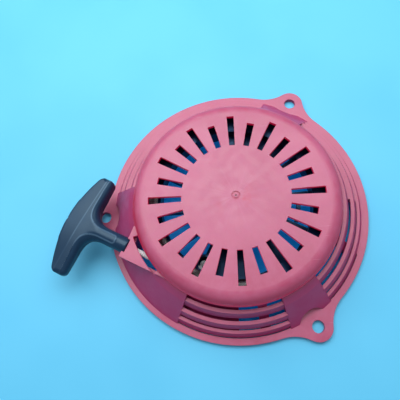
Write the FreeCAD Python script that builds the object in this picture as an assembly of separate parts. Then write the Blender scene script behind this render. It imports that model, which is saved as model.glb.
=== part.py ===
import FreeCAD, Part
import math
import os

# Recoil starter for a small vertical-shaft engine. Millimetres.
# Origin at the centre of the mounting flange's bottom face, +Z up towards the slotted cap.

V = FreeCAD.Vector
CENTRE = V(0, 0, 0)
UP = V(0, 0, 1)

# ---- housing: overall sizes ----
BOLT_CIRCLE_R = 100.0
BOLT_HOLE_R = 4.25
EAR_R = 10.0
EAR_FILLET_R = 28.0
EAR_AZIMUTHS = (60.0, 180.0, 300.0)
FLANGE_R = 96.65
FLANGE_WIDTH = 4.55
FLANGE_T = 3.5
HEIGHT = 37.0
WALL = 2.2

# ---- housing: cap ----
CAP_R = 72.4
CAP_EDGE_R = 9.0
CAP_FOOT_Z = 23.5
CAP_TOP_T = 2.5

# ---- housing: cooling slots in the cap ----
SLOT_COUNT = 24
SLOT_INNER_R = 37.2
SLOT_LONG_R = 60.1
SLOT_SHORT_R = 55.0
SLOT_INNER_W = 3.9
SLOT_OUTER_W = 5.1
GATE_DIMPLE_R = 3.0
GATE_DIMPLE_DEPTH = 0.6
GATE_NIB_R = 1.6
GATE_NIB_HOLE_R = 0.55

# ---- housing: skirt, stepped louvre rings and solid webs ----
SKIRT_OVERLAP = 0.8
SKIRT_FOOT_R = FLANGE_R - FLANGE_WIDTH + SKIRT_OVERLAP
SKIRT_RISE = 3.3
SKIRT_BREAK_R = 77.6
SKIRT_BREAK_Z = 21.9
RING_TREADS = ((74.0, 76.5, 22.5), (81.0, 83.5, 15.5), (86.8, 89.0, 9.0))
RING_FACE_RUN = 2.6
RING_FACE_DROP = 5.6
RING_T = 1.8
WEB_HALF_ANGLE = 11.0
LOUVRE_SECTORS = ((240.0, 290.0), (311.0, 408.0), (72.0, 168.0))
CLOSE_SECTORS = ((359.0, 408.0), (72.0, 168.0))
CLOSE_LAP = 1.8
FLANGE_LIP_SECTORS = ((335.0, 408.0), (72.0, 168.0))
BACKED_SECTOR = (238.0, 267.5)
BACKED_DROP = 5.0
BRIDGE_AZIMUTHS = (279.7, 334.7, 2.2, 29.7, 84.7, 112.2, 139.7)
BRIDGE_ANGLE = 4.6
BRIDGE_DROP = 3.2
SECTOR_LAP = 0.3
NOTCH_R = 12.4

# ---- rope and the line it leaves along ----
ROPE_R = 2.0
ROPE_PITCH_R = 61.0
ROPE_Z = 23.3
PULL_AZIMUTH = 152.0
TANGENT_AZIMUTH = PULL_AZIMUTH + 90.0
PULL = V(math.cos(math.radians(PULL_AZIMUTH)), math.sin(math.radians(PULL_AZIMUTH)), 0)
ACROSS = V(-PULL.y, PULL.x, 0)

# ---- housing: rope exit box ----
BOX_TOP_Z = 27.5
BOX_TOP_T = 1.8
BOX_FACE_RUN = 56.3
BOX_INNER_SIDE = 54.0
BOX_OUTER_SIDE = 69.6
BOX_FACE_T = 5.0
BOX_FOOT_Z = 3.0
BOX_SHOULDER_AZIMUTH = 191.5
SHELF_SLOT = (197.0, 219.5)
SHELF_SLOT_OUTER_R = 76.0
NECK_SEAT_DEPTH = 2.0
NECK_SEAT_CLEARANCE = 0.5
GUIDE_OUTER_R = 3.4
GUIDE_BORE_R = ROPE_R + 0.4

# ---- centre post, screw and friction parts ----
POST_R = 8.0
POST_FOOT_Z = 8.9
SPIGOT_R = 5.0
SPIGOT_FOOT_Z = 4.3
SCREW_R = 2.5
SCREW_DEPTH = 20.0
SCREW_HEAD_R = 7.0
SCREW_HEAD_T = 3.1
SCREW_SOCKET_R = 2.6
RUNNING_CLEARANCE = 0.05
AXIAL_GAP = 0.3
WASHER_T = 0.7
WASHER_R = 12.0

# ---- reel ----
HUB_FOOT_Z = 9.2
HUB_FLOOR_Z = 20.0
HUB_R = 24.0
SPRING_WALL_R = 33.0
SPRING_WALL_T = 2.0
SPRING_WALL_TOP_Z = 32.0
WEB_T = 2.6
RIM_T = 1.9
REEL_FLANGE_R = 66.5
REEL_FLANGE_T = 1.8
GROOVE_MARGIN = 0.35
SPOKE_COUNT = 12
SPOKE_W = 7.0
SPOKE_PHASE = 2.0
CLOSED_SECTORS = ((40.0, 98.0), (248.0, 278.0))
BRACE_SECTOR = (338.0, 358.0)
BRACE_R = 42.7
BRACE_W = 2.8
ROPE_WINDOW_COUNT = 4
ROPE_WINDOW_FIRST = 177.0
ROPE_WINDOW_PITCH = 31.2
ROPE_WINDOW_ANGLE = 22.0
ROPE_WINDOW_RIM = 2.0
KNOT_R = 3.4
KNOT_CELL_R = 4.6
KNOT_AZIMUTH = 241.0
LEAD_BEND_R = 4.5
LEAD_CLEARANCE = 0.7

# ---- ratchets ----
PAWL_PIVOT_R = 17.5
PAWL_PIN_R = 2.2
PAWL_EYE_R = 4.0
PAWL_T = 3.9
PAWL_TIP_IN = 2.0
PAWL_TIP_BACK = 12.8
PAWL_TIP_R = 2.6
PAWL_PEG_R = 1.2
PAWL_PEG_SHARE = 0.386
POCKET_DEPTH = 6.8
POCKET_CLEARANCE = 0.6
PAWL_SWING = 30.0
GUIDE_TURN = 25.0
GUIDE_PLATE_R = 22.8
GUIDE_PLATE_T = 1.5
GUIDE_HUB_R = 7.0
FRICTION_WIRE_R = 0.7
FRICTION_GAP = 50.0
FRICTION_LEG = 3.5
GUIDE_SLOT_CLEARANCE = 0.4
TORSION_WIRE_R = 0.3
TORSION_COIL_R = 3.2
TORSION_PITCH = 0.65
TORSION_TURNS = 2.0

# ---- recoil spring ----
SPRING_T = 0.6
SPRING_H = 10.5
SPRING_TURNS = 7.0
SPRING_INNER_R = POST_R + 1.0
SPRING_HOOK = 3.0
HOOK_SLOT_W = 2.0

# ---- grip ----
NECK_R = 5.75
NECK_END_RUN = 54.6
NECK_LENGTH = 27.5
BAR_HALF_LENGTH = 37.5
BAR_DEPTH = 21.2
BAR_BOW = 7.7
BAR_END_DEPTH = 10.8
BAR_HALF_T = 7.2
BAR_ROUND = 3.6
BAR_CORNER_R = 4.2
NECK_FILLET_R = 6.5
NECK_END_ROUND = 0.8
GRIP_BORE_R = ROPE_R + 0.5
GRIP_POCKET_R = 5.2
GRIP_POCKET_DEPTH = 11.0
ROPE_WASHER_T = 1.5
GRIP_KNOT_R = 4.0


# ---- small geometry helpers ----
def polar(radius, azimuth, z=0.0):
    """Point at a radius and an azimuth in degrees."""
    angle = math.radians(azimuth)
    return V(radius * math.cos(angle), radius * math.sin(angle), z)


def radial(azimuth):
    """Unit vector pointing outwards at an azimuth."""
    return polar(1.0, azimuth)


def rope_frame(run, side, z):
    """Point by its distance along the pull and across it."""
    return PULL * run + ACROSS * side + V(0, 0, z)


def disc(radius, z0, z1, at=CENTRE):
    """Upright cylinder between two heights."""
    return Part.makeCylinder(radius, z1 - z0, V(at.x, at.y, z0), UP)


def tube(outer, inner, z0, z1, at=CENTRE):
    """Upright tube between two heights."""
    return disc(outer, z0, z1, at).cut(disc(inner, z0, z1, at))


def prism(points, z0, z1):
    """Straight-sided block over a plan outline."""
    loop = [V(p.x, p.y, z0) for p in points]
    face = Part.Face(Part.makePolygon(loop + loop[:1]))
    return face.extrude(V(0, 0, z1 - z0))


def sector(section, start, end):
    """Radius and height outline turned about Z between two azimuths."""
    loop = [V(r, 0, z) for r, z in section]
    face = Part.Face(Part.makePolygon(loop + loop[:1]))
    solid = face.revolve(CENTRE, UP, end - start)
    solid.rotate(CENTRE, UP, start)
    return solid


def annulus(inner, outer, z0, z1, start, end):
    """Plain ring sector."""
    return sector([(inner, z0), (outer, z0), (outer, z1), (inner, z1)], start, end)


def join(shapes):
    """One solid out of overlapping ones."""
    return shapes[0].multiFuse(shapes[1:]).removeSplitter()


# ---- housing ----
def cap_shell():
    """Dished cap: flat top, round edge and short wall."""
    def face_of(radius, top, edge, foot):
        corner = V(radius - edge, 0, top - edge)
        bend = corner + V(edge * math.sin(math.pi / 4), 0, edge * math.cos(math.pi / 4))
        edges = [
            Part.makeLine(V(0, 0, foot), V(0, 0, top)),
            Part.makeLine(V(0, 0, top), V(radius - edge, 0, top)),
            Part.Arc(V(radius - edge, 0, top), bend, V(radius, 0, top - edge)).toShape(),
            Part.makeLine(V(radius, 0, top - edge), V(radius, 0, foot)),
            Part.makeLine(V(radius, 0, foot), V(0, 0, foot)),
        ]
        return Part.Face(Part.Wire(edges)).revolve(CENTRE, UP, 360)

    outside = face_of(CAP_R, HEIGHT, CAP_EDGE_R, CAP_FOOT_Z)
    inside = face_of(CAP_R - WALL, HEIGHT - CAP_TOP_T, CAP_EDGE_R - WALL, CAP_FOOT_Z - 1.0)
    return outside.cut(inside)


def radial_slot(azimuth, outer_radius):
    """Cutter for one tapered cooling slot."""
    outline = [
        V(SLOT_INNER_R, -SLOT_INNER_W / 2, 0),
        V(outer_radius, -SLOT_OUTER_W / 2, 0),
        V(outer_radius, SLOT_OUTER_W / 2, 0),
        V(SLOT_INNER_R, SLOT_INNER_W / 2, 0),
    ]
    slot = prism(outline, HEIGHT - 2 * CAP_TOP_T, HEIGHT + 1.0)
    slot.rotate(CENTRE, UP, azimuth)
    return slot


def cooling_slots():
    """Long and short slots taking turns round the cap."""
    pitch = 360.0 / SLOT_COUNT
    reach = (SLOT_LONG_R, SLOT_SHORT_R)
    return [radial_slot(n * pitch, reach[n % 2]) for n in range(SLOT_COUNT)]


def skirt_section(drop=0.0):
    """Outline of the sloping skirt between the cap wall and the flange."""
    top = CAP_FOOT_Z + SKIRT_RISE - drop
    foot = SKIRT_FOOT_R - drop
    return [
        (CAP_R - WALL, top),
        (CAP_R, top),
        (SKIRT_BREAK_R - drop / 2, SKIRT_BREAK_Z - drop),
        (foot, FLANGE_T - min(drop, FLANGE_T - 1.0)),
        (foot, 0.0),
        (foot - 1.6 * WALL, 0.0),
        (CAP_R - WALL, top - 1.6 * WALL),
    ]


def web(start, end):
    """Solid stretch of skirt."""
    return sector(skirt_section(), start, end)


def louvre_ring(tread, start, end):
    """One stepped ring: a level tread with a steep outer face."""
    inner, outer, top = tread
    section = [
        (inner, top),
        (outer, top),
        (outer + RING_FACE_RUN, top - RING_FACE_DROP),
        (outer + RING_FACE_RUN - RING_T, top - RING_FACE_DROP),
        (outer - 0.4 * RING_T, top - RING_T),
        (inner, top - RING_T),
    ]
    return sector(section, start - SECTOR_LAP, end + SECTOR_LAP)


def close_lip(tread, start, end):
    """Wider tread where the rings stand closer, under the ring or cap above."""
    inner, outer, top = tread
    return annulus(inner - CLOSE_LAP, outer - RING_T, top - RING_T, top, start, end)


def louvres():
    """Rings, the bridges that carry them and the backed part in front."""
    pieces = []
    for start, end in LOUVRE_SECTORS:
        pieces += [louvre_ring(tread, start, end) for tread in RING_TREADS]
    for start, end in CLOSE_SECTORS:
        pieces += [close_lip(tread, start, end) for tread in RING_TREADS]
    flange_inner = FLANGE_R - FLANGE_WIDTH
    for start, end in FLANGE_LIP_SECTORS:
        pieces.append(annulus(flange_inner - CLOSE_LAP, flange_inner + SECTOR_LAP, 0, FLANGE_T, start, end))
    for azimuth in BRIDGE_AZIMUTHS:
        half = BRIDGE_ANGLE / 2
        pieces.append(sector(skirt_section(BRIDGE_DROP), azimuth - half, azimuth + half))
    pieces.append(sector(skirt_section(BACKED_DROP), *BACKED_SECTOR))
    return pieces


def ear(azimuth):
    """Mounting ear with concave flanks running into the flange."""
    side = FLANGE_R + EAR_FILLET_R
    tip = EAR_R + EAR_FILLET_R
    turn = math.acos((BOLT_CIRCLE_R ** 2 + side ** 2 - tip ** 2) / (2 * BOLT_CIRCLE_R * side))
    centre = V(side * math.cos(turn), side * math.sin(turn), 0)
    hole = V(BOLT_CIRCLE_R, 0, 0)
    touch_rim = centre * (FLANGE_R / side)
    touch_ear = hole + (centre - hole) * (EAR_R / tip)
    inner = SKIRT_FOOT_R
    root = V(inner * math.cos(turn), inner * math.sin(turn), 0)
    outline = [V(inner, 0, 0), root, touch_rim, touch_ear, hole + V(EAR_R, 0, 0) * 0.2]
    half = prism(outline, 0, FLANGE_T).cut(disc(EAR_FILLET_R, -1, FLANGE_T + 1, centre))
    other = half.mirror(CENTRE, V(0, 1, 0))
    blank = join([half, other, disc(EAR_R, 0, FLANGE_T, hole)])
    blank.rotate(CENTRE, UP, azimuth)
    return blank


def notch_wall(azimuth):
    """Curved wall that closes the skirt behind an ear's screw space."""
    wall = tube(NOTCH_R + WALL, NOTCH_R, 0, HEIGHT, polar(BOLT_CIRCLE_R, azimuth))
    section = skirt_section()
    under = section[:4] + [(CAP_R - WALL, 0.0)]
    return wall.common(sector(under, azimuth - WEB_HALF_ANGLE, azimuth + WEB_HALF_ANGLE))


def box_outline(inset=0.0, face_inset=0.0, reach=0.0):
    """Plan of the rope exit box, closed inside the cap."""
    run = BOX_FACE_RUN - face_inset
    outer = BOX_OUTER_SIDE - inset
    inner = BOX_INNER_SIDE + inset
    cap = CAP_R - 1.0 - reach
    shoulder = polar(CAP_R + 1.2 - inset, BOX_SHOULDER_AZIMUTH + inset)
    tip_run = math.sqrt(CAP_R ** 2 - outer ** 2)
    return [
        shoulder,
        rope_frame(run, inner, 0),
        rope_frame(run, outer, 0),
        rope_frame(tip_run, outer, 0),
        polar(cap, 226.0),
        polar(cap - 6.0, 215.0),
        polar(cap - 6.0, 202.0),
        polar(cap, BOX_SHOULDER_AZIMUTH + inset),
    ]


def along_rope(radius, start, end):
    """Cylinder on the rope's line between two distances."""
    base = rope_frame(start, ROPE_PITCH_R, ROPE_Z)
    return Part.makeCylinder(radius, end - start, base, PULL)


def centre_post():
    """Post that carries the reel, with a spigot for the friction parts."""
    top = HEIGHT - CAP_TOP_T + 0.5
    post = disc(POST_R, POST_FOOT_Z, top)
    collar = sector([(0, top), (POST_R + 4.0, top), (POST_R, top - 3.0), (0, top - 3.0)], 0, 360)
    spigot = disc(SPIGOT_R, SPIGOT_FOOT_Z, POST_FOOT_Z + 1.0)
    solid = join([post, collar, spigot])
    drilled = disc(SCREW_R, SPIGOT_FOOT_Z - 1.0, SPIGOT_FOOT_Z + SCREW_DEPTH + 1.0)
    hook = Part.makeBox(HOOK_SLOT_W, POST_R, SPRING_H + 3.0,
                        V(-HOOK_SLOT_W / 2, POST_R - SPRING_HOOK - 0.6, HUB_FLOOR_Z))
    return solid.cut(drilled).cut(hook)


def housing():
    """The red moulding: cap, skirt, flange, ears, exit box and post."""
    flange = tube(FLANGE_R, FLANGE_R - FLANGE_WIDTH, 0, FLANGE_T)
    webs = [web(LOUVRE_SECTORS[0][1], LOUVRE_SECTORS[1][0]),
            web(LOUVRE_SECTORS[1][1] - 360.0, LOUVRE_SECTORS[2][0]),
            web(LOUVRE_SECTORS[2][1], LOUVRE_SECTORS[0][0])]
    ears = [ear(azimuth) for azimuth in EAR_AZIMUTHS]
    body = join([cap_shell(), flange] + webs + ears + louvres())
    for azimuth in EAR_AZIMUTHS:
        body = body.cut(disc(NOTCH_R, FLANGE_T, HEIGHT, polar(BOLT_CIRCLE_R, azimuth)))
    body = join([body] + [notch_wall(azimuth) for azimuth in EAR_AZIMUTHS])

    box = prism(box_outline(), BOX_FOOT_Z, BOX_TOP_Z)
    body = body.fuse(box.cut(disc(CAP_R - WALL / 2, 0, HEIGHT)))
    body = body.cut(prism(box_outline(WALL, BOX_FACE_T, 3.0), -1.0, BOX_TOP_Z - BOX_TOP_T))
    body = body.cut(annulus(CAP_R, SHELF_SLOT_OUTER_R, BOX_TOP_Z - 2 * WALL, BOX_TOP_Z + 1, *SHELF_SLOT))
    seat = BOX_FACE_RUN - NECK_SEAT_DEPTH
    body = body.cut(along_rope(NECK_R + NECK_SEAT_CLEARANCE, seat, BOX_FACE_RUN + 8.0))
    body = body.cut(along_rope(GUIDE_OUTER_R, BOX_FACE_RUN - BOX_FACE_T - 2.0, seat + 1.0))
    body = body.fuse(centre_post())
    body = body.cut(Part.makeCompound(cooling_slots()))
    body = body.cut(tube(GATE_DIMPLE_R, GATE_NIB_R, HEIGHT - GATE_DIMPLE_DEPTH, HEIGHT + 1))
    body = body.cut(disc(GATE_NIB_HOLE_R, HEIGHT - GATE_DIMPLE_DEPTH, HEIGHT + 1))
    for azimuth in EAR_AZIMUTHS:
        body = body.cut(disc(BOLT_HOLE_R, -1, FLANGE_T + 1, polar(BOLT_CIRCLE_R, azimuth)))
    return body.removeSplitter()


def rope_guide():
    """Steel bush pressed into the exit box wall."""
    inner_face = BOX_FACE_RUN - BOX_FACE_T
    seat = BOX_FACE_RUN - NECK_SEAT_DEPTH
    sleeve = along_rope(GUIDE_OUTER_R, inner_face, seat)
    return sleeve.cut(along_rope(GUIDE_BORE_R, inner_face - 1.0, seat + 1.0))


# ---- reel and what is wound on it ----
GROOVE_R = ROPE_PITCH_R - 3 * ROPE_R - 0.1
RIM_R = GROOVE_R - RIM_T
LAYER_STEP = 2 * ROPE_R + 0.05
COLUMN_STEP = 2 * ROPE_R + 0.1
GROOVE_TOP_Z = ROPE_Z + ROPE_R + GROOVE_MARGIN
GROOVE_FOOT_Z = ROPE_Z - COLUMN_STEP - ROPE_R - GROOVE_MARGIN
PAWL_AZIMUTHS = (20.0, 200.0)
GUIDE_TOP_Z = POST_FOOT_Z - WASHER_T - AXIAL_GAP
SPRING_START_AZIMUTH = 90.0
SPRING_END_AZIMUTH = SPRING_START_AZIMUTH - 360.0 * SPRING_TURNS
WOUND_LEAD = 6.0
WOUND_TURNS = 3
WOUND_ANGLE = 360.0 * WOUND_TURNS - (TANGENT_AZIMUTH - KNOT_AZIMUTH) - WOUND_LEAD


PIVOT = V(PAWL_PIVOT_R, 0, 0)
PAWL_TIP = PIVOT - V(PAWL_TIP_IN, PAWL_TIP_BACK, 0)
PAWL_FOOT_Z = HUB_FOOT_Z + AXIAL_GAP
POCKET_TOP_Z = HUB_FOOT_Z + POCKET_DEPTH


def pawl_blank(z0, z1, grow=0.0):
    """Pawl without its hole and peg: round eye, tapered arm, round tip."""
    arm = (PAWL_TIP - PIVOT).normalize()
    side = V(-arm.y, arm.x, 0)
    eye = PAWL_EYE_R + grow
    tip = PAWL_TIP_R + grow
    outline = [PIVOT + side * eye, PAWL_TIP + side * tip, PAWL_TIP - side * tip, PIVOT - side * eye]
    return join([disc(eye, z0, z1, PIVOT), disc(tip, z0, z1, PAWL_TIP), prism(outline, z0, z1)])


def pawl_pocket(azimuth):
    """Cutter for a pocket that clears the pawl through its whole swing."""
    steps = 6
    swung = []
    for n in range(steps + 1):
        blank = pawl_blank(HUB_FOOT_Z - 1, POCKET_TOP_Z, POCKET_CLEARANCE)
        blank.rotate(PIVOT, UP, n * PAWL_SWING / steps)
        swung.append(blank)
    cutter = join(swung).cut(disc(PAWL_PIN_R, HUB_FOOT_Z, POCKET_TOP_Z + 1, PIVOT))
    cutter.rotate(CENTRE, UP, azimuth)
    return cutter


def spokes():
    """Arms between the spring pocket and the rim."""
    arms = []
    for n in range(SPOKE_COUNT):
        arm = Part.makeBox(RIM_R - SPRING_WALL_R + 2.0, SPOKE_W, 2 * WEB_T,
                           V(SPRING_WALL_R - 1.0, -SPOKE_W / 2, HUB_FLOOR_Z - 2 * WEB_T))
        arm.rotate(CENTRE, UP, SPOKE_PHASE + n * 360.0 / SPOKE_COUNT)
        arms.append(arm)
    return arms


def reel_web():
    """Closed sectors between some of the spokes, and the curved brace in one window."""
    foot = HUB_FLOOR_Z - WEB_T
    plates = [annulus(SPRING_WALL_R - 1.0, RIM_R + 1.0, foot, HUB_FLOOR_Z, *span) for span in CLOSED_SECTORS]
    brace = annulus(BRACE_R, BRACE_R + BRACE_W, foot, HUB_FLOOR_Z, *BRACE_SECTOR)
    return plates + [brace]


def rope_windows():
    """Cutters that show the rope through the reel's upper flange."""
    cutters = []
    for n in range(ROPE_WINDOW_COUNT):
        middle = ROPE_WINDOW_FIRST + n * ROPE_WINDOW_PITCH
        cutters.append(annulus(GROOVE_R, REEL_FLANGE_R - ROPE_WINDOW_RIM, GROOVE_TOP_Z - 0.5,
                               GROOVE_TOP_Z + REEL_FLANGE_T + 1.0,
                               middle - ROPE_WINDOW_ANGLE / 2, middle + ROPE_WINDOW_ANGLE / 2))
    return Part.makeCompound(cutters)


def reel():
    """Black plastic reel: hub, spring pocket, spokes and rope groove."""
    flange_foot = GROOVE_FOOT_Z - REEL_FLANGE_T
    flange_top = GROOVE_TOP_Z + REEL_FLANGE_T
    hub = disc(HUB_R, HUB_FOOT_Z, HUB_FLOOR_Z)
    floor = disc(SPRING_WALL_R, HUB_FLOOR_Z - WEB_T, HUB_FLOOR_Z)
    wall = tube(SPRING_WALL_R, SPRING_WALL_R - SPRING_WALL_T, HUB_FLOOR_Z - WEB_T, SPRING_WALL_TOP_Z)
    rim = tube(GROOVE_R, RIM_R, flange_foot, flange_top)
    lower = tube(REEL_FLANGE_R, RIM_R, flange_foot, GROOVE_FOOT_Z)
    upper = tube(REEL_FLANGE_R, RIM_R, GROOVE_TOP_Z, flange_top)
    cell_centre = polar(RIM_R - KNOT_CELL_R + 1.0, KNOT_AZIMUTH)
    cell = disc(KNOT_CELL_R + 1.5, flange_foot, flange_top, cell_centre).common(disc(GROOVE_R, 0, HEIGHT))
    solid = join([hub, floor, wall, rim, lower, upper, cell] + spokes() + reel_web())
    solid = solid.cut(disc(POST_R + RUNNING_CLEARANCE, HUB_FOOT_Z - 1, HUB_FLOOR_Z + 1))
    solid = solid.cut(disc(KNOT_CELL_R, GROOVE_FOOT_Z, flange_top + 1, cell_centre))
    solid = solid.cut(rope_windows())
    before = math.degrees((LEAD_BEND_R + ROPE_R + 2 * LEAD_CLEARANCE) / RIM_R)
    after = math.degrees((ROPE_R + LEAD_CLEARANCE) / RIM_R)
    solid = solid.cut(annulus(RIM_R - 4.0, GROOVE_R + 0.1, ROPE_Z - ROPE_R - 0.3, GROOVE_TOP_Z,
                              KNOT_AZIMUTH - before, KNOT_AZIMUTH + after))
    notch = Part.makeBox(SPRING_WALL_T + 4.0, 2.0, SPRING_H + 1.5,
                         V(SPRING_WALL_R - SPRING_WALL_T - 1.0, -1.0, HUB_FLOOR_Z))
    notch.rotate(CENTRE, UP, SPRING_END_AZIMUTH)
    solid = solid.cut(notch)
    for azimuth in PAWL_AZIMUTHS:
        solid = solid.cut(pawl_pocket(azimuth))
    return solid.removeSplitter()


def eased(value, start, end):
    """Smooth step from 0 to 1 between two values."""
    t = min(max((value - start) / (end - start), 0.0), 1.0)
    return t * t * (3.0 - 2.0 * t)


def wound_point(turned):
    """Centre of the wound rope after a turned angle in degrees.

    It fills the groove two wide, then climbs to a second layer and comes back
    to the upper place, where it leaves the reel.
    """
    column = eased(turned, 300.0, 345.0) - eased(turned, 900.0, 945.0)
    layer = eased(turned, 600.0, 655.0)
    radius = GROOVE_R + ROPE_R + 0.05 + layer * LAYER_STEP
    return polar(radius, KNOT_AZIMUTH - WOUND_LEAD - turned, ROPE_Z - column * COLUMN_STEP)


def swept_rope(points, radius):
    """Round rope or wire along a smooth line through points."""
    path = Part.BSplineCurve()
    path.interpolate(points)
    start = (points[1] - points[0]).normalize()
    ring = Part.Wire([Part.makeCircle(radius, points[0], start)])
    return Part.Wire([path.toShape()]).makePipeShell([ring], True, False)


def rope_on_reel():
    """Rope from its knot cell, round the groove and up to the tangent point."""
    bend = LEAD_BEND_R
    out = radial(KNOT_AZIMUTH)
    aside = V(out.y, -out.x, 0)
    inner = GROOVE_R + ROPE_R - bend
    level = V(0, 0, ROPE_Z)
    points = [level + out * (inner - 1.2), level + out * (inner - 0.6)]
    for angle in (0, 30, 60, 90):
        turn = math.radians(angle)
        points.append(level + out * (inner + bend * math.sin(turn)) + aside * bend * (1 - math.cos(turn)))
    steps = int(WOUND_ANGLE / 7.5)
    points += [wound_point(WOUND_ANGLE * n / steps) for n in range(steps + 1)]
    return swept_rope(points, ROPE_R)


def reel_knot():
    """Knot that stops the rope's inner end in the reel."""
    centre = polar(RIM_R - KNOT_CELL_R + 1.0, KNOT_AZIMUTH, ROPE_Z - 0.6)
    return knot_at(centre, radial(KNOT_AZIMUTH), KNOT_R)


def knot_at(centre, direction, radius):
    """Knot as two crossed rope turns over a ball."""
    ball = Part.makeSphere(0.86 * radius, centre)
    first = Part.makeTorus(0.55 * radius, 0.42 * radius, centre, direction)
    second = Part.makeTorus(0.5 * radius, 0.42 * radius, centre, direction + UP * 1.2)
    return ball.multiFuse([first, second])


def recoil_spring():
    """Flat strip wound as a spiral, hooked to the post and to the reel."""
    outer = SPRING_WALL_R - SPRING_WALL_T - 0.6
    steps = int(SPRING_TURNS * 16)
    z0 = HUB_FLOOR_Z + 0.4

    def edge(offset):
        points = []
        for n in range(steps + 1):
            share = n / steps
            radius = SPRING_INNER_R + (outer - SPRING_INNER_R) * share + offset
            points.append(polar(radius, SPRING_START_AZIMUTH - 360.0 * SPRING_TURNS * share, z0))
        curve = Part.BSplineCurve()
        curve.interpolate(points)
        return curve.toShape(), points[0], points[-1]

    inside, in_start, in_end = edge(-SPRING_T / 2)
    outside, out_start, out_end = edge(SPRING_T / 2)
    loop = [inside, Part.makeLine(in_end, out_end), outside, Part.makeLine(in_start, out_start)]
    strip = Part.Face(Part.Wire(Part.__sortEdges__(loop))).extrude(V(0, 0, SPRING_H))
    inner_hook = Part.makeBox(SPRING_T, SPRING_HOOK + 1.2, SPRING_H,
                              V(-SPRING_T / 2, SPRING_INNER_R - SPRING_HOOK - 1.0, z0))
    outer_hook = Part.makeBox(SPRING_WALL_T + 0.9, SPRING_T, SPRING_H,
                              V(outer - 0.2, -SPRING_T / 2, z0))
    outer_hook.rotate(CENTRE, UP, SPRING_END_AZIMUTH)
    return join([strip, inner_hook, outer_hook])


# ---- ratchet parts under the reel ----
def pawl(azimuth):
    """Steel pawl on its pin, with the peg that the guide plate moves."""
    blank = pawl_blank(PAWL_FOOT_Z, PAWL_FOOT_Z + PAWL_T)
    blank = blank.cut(disc(PAWL_PIN_R + RUNNING_CLEARANCE, PAWL_FOOT_Z - 1, PAWL_FOOT_Z + PAWL_T + 1, PIVOT))
    peg_at = PIVOT + (PAWL_TIP - PIVOT) * PAWL_PEG_SHARE
    solid = blank.fuse(disc(PAWL_PEG_R, GUIDE_TOP_Z - GUIDE_PLATE_T + 0.2, PAWL_FOOT_Z + 0.5, peg_at))
    solid.rotate(CENTRE, UP, azimuth)
    return solid


def ratchet_spring(azimuth):
    """Small torsion coil round a pawl's pin."""
    foot = PAWL_FOOT_Z + PAWL_T + AXIAL_GAP + TORSION_WIRE_R
    helix = Part.makeHelix(TORSION_PITCH, TORSION_PITCH * TORSION_TURNS, TORSION_COIL_R)
    ring = Part.Wire([Part.makeCircle(TORSION_WIRE_R, V(TORSION_COIL_R, 0, 0), V(0, 1, 0))])
    coil = Part.Wire(helix.Edges).makePipeShell([ring], True, True)
    coil.translate(PIVOT + V(0, 0, foot))
    coil.rotate(CENTRE, UP, azimuth)
    return coil


def ratchet_guide():
    """Plate with two cam slots that lag behind the reel and swing the pawls out."""
    foot = SPIGOT_FOOT_Z + AXIAL_GAP
    plate = disc(GUIDE_PLATE_R, GUIDE_TOP_Z - GUIDE_PLATE_T, GUIDE_TOP_Z)
    solid = plate.fuse(disc(GUIDE_HUB_R, foot, GUIDE_TOP_Z))
    solid = solid.cut(disc(SPIGOT_R + RUNNING_CLEARANCE, foot - 1, GUIDE_TOP_Z + 1))
    arm = (PAWL_TIP - PIVOT) * PAWL_PEG_SHARE
    steps = 10
    for azimuth in PAWL_AZIMUTHS:
        track = []
        for n in range(steps + 1):
            share = n / steps
            swing = math.radians(PAWL_SWING * share)
            moved = V(arm.x * math.cos(swing) - arm.y * math.sin(swing),
                      arm.x * math.sin(swing) + arm.y * math.cos(swing), 0)
            hole = disc(PAWL_PEG_R + GUIDE_SLOT_CLEARANCE, GUIDE_TOP_Z - GUIDE_PLATE_T - 1,
                        GUIDE_TOP_Z + 1, PIVOT + moved)
            hole.rotate(CENTRE, UP, azimuth - GUIDE_TURN * share)
            track.append(hole)
        solid = solid.cut(join(track))
    return solid


def friction_spring():
    """Split wire ring gripping the guide's hub, with two short legs."""
    radius = GUIDE_HUB_R + FRICTION_WIRE_R + RUNNING_CLEARANCE
    z = (SPIGOT_FOOT_Z + AXIAL_GAP + GUIDE_TOP_Z - GUIDE_PLATE_T) / 2
    section = Part.Face(Part.Wire([Part.makeCircle(FRICTION_WIRE_R, V(radius, 0, z), V(0, 1, 0))]))
    ring = section.revolve(CENTRE, UP, 360.0 - FRICTION_GAP)
    legs = []
    for azimuth in (0.0, 360.0 - FRICTION_GAP):
        start = polar(radius, azimuth, z)
        legs.append(Part.makeSphere(FRICTION_WIRE_R, start))
        legs.append(Part.makeCylinder(FRICTION_WIRE_R, FRICTION_LEG, start, radial(azimuth)))
    return ring.multiFuse(legs)


def thrust_washer():
    """Steel washer clamped under the post, holding the reel up."""
    return tube(WASHER_R, SPIGOT_R + RUNNING_CLEARANCE, POST_FOOT_Z - WASHER_T, POST_FOOT_Z)


def centre_screw():
    """Socket screw with a broad head, up into the post."""
    foot = SPIGOT_FOOT_Z - SCREW_HEAD_T
    head = disc(SCREW_HEAD_R, foot, SPIGOT_FOOT_Z)
    shank = disc(SCREW_R - RUNNING_CLEARANCE, SPIGOT_FOOT_Z, SPIGOT_FOOT_Z + SCREW_DEPTH)
    hexagon = [polar(SCREW_SOCKET_R, 60.0 * n) for n in range(6)]
    rim = [edge for edge in head.Edges if abs(edge.BoundBox.ZMax - foot) < 0.01]
    rounded = head.makeFillet(1.2, rim)
    return rounded.fuse(shank).cut(prism(hexagon, foot - 1, foot + 2.0))


# ---- grip and the rope that leads to it ----
def in_bar(run, side, z):
    """Point on the grip by its distance from the neck's end and off the rope's line."""
    return rope_frame(NECK_END_RUN + run, ROPE_PITCH_R + side, z)


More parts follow.
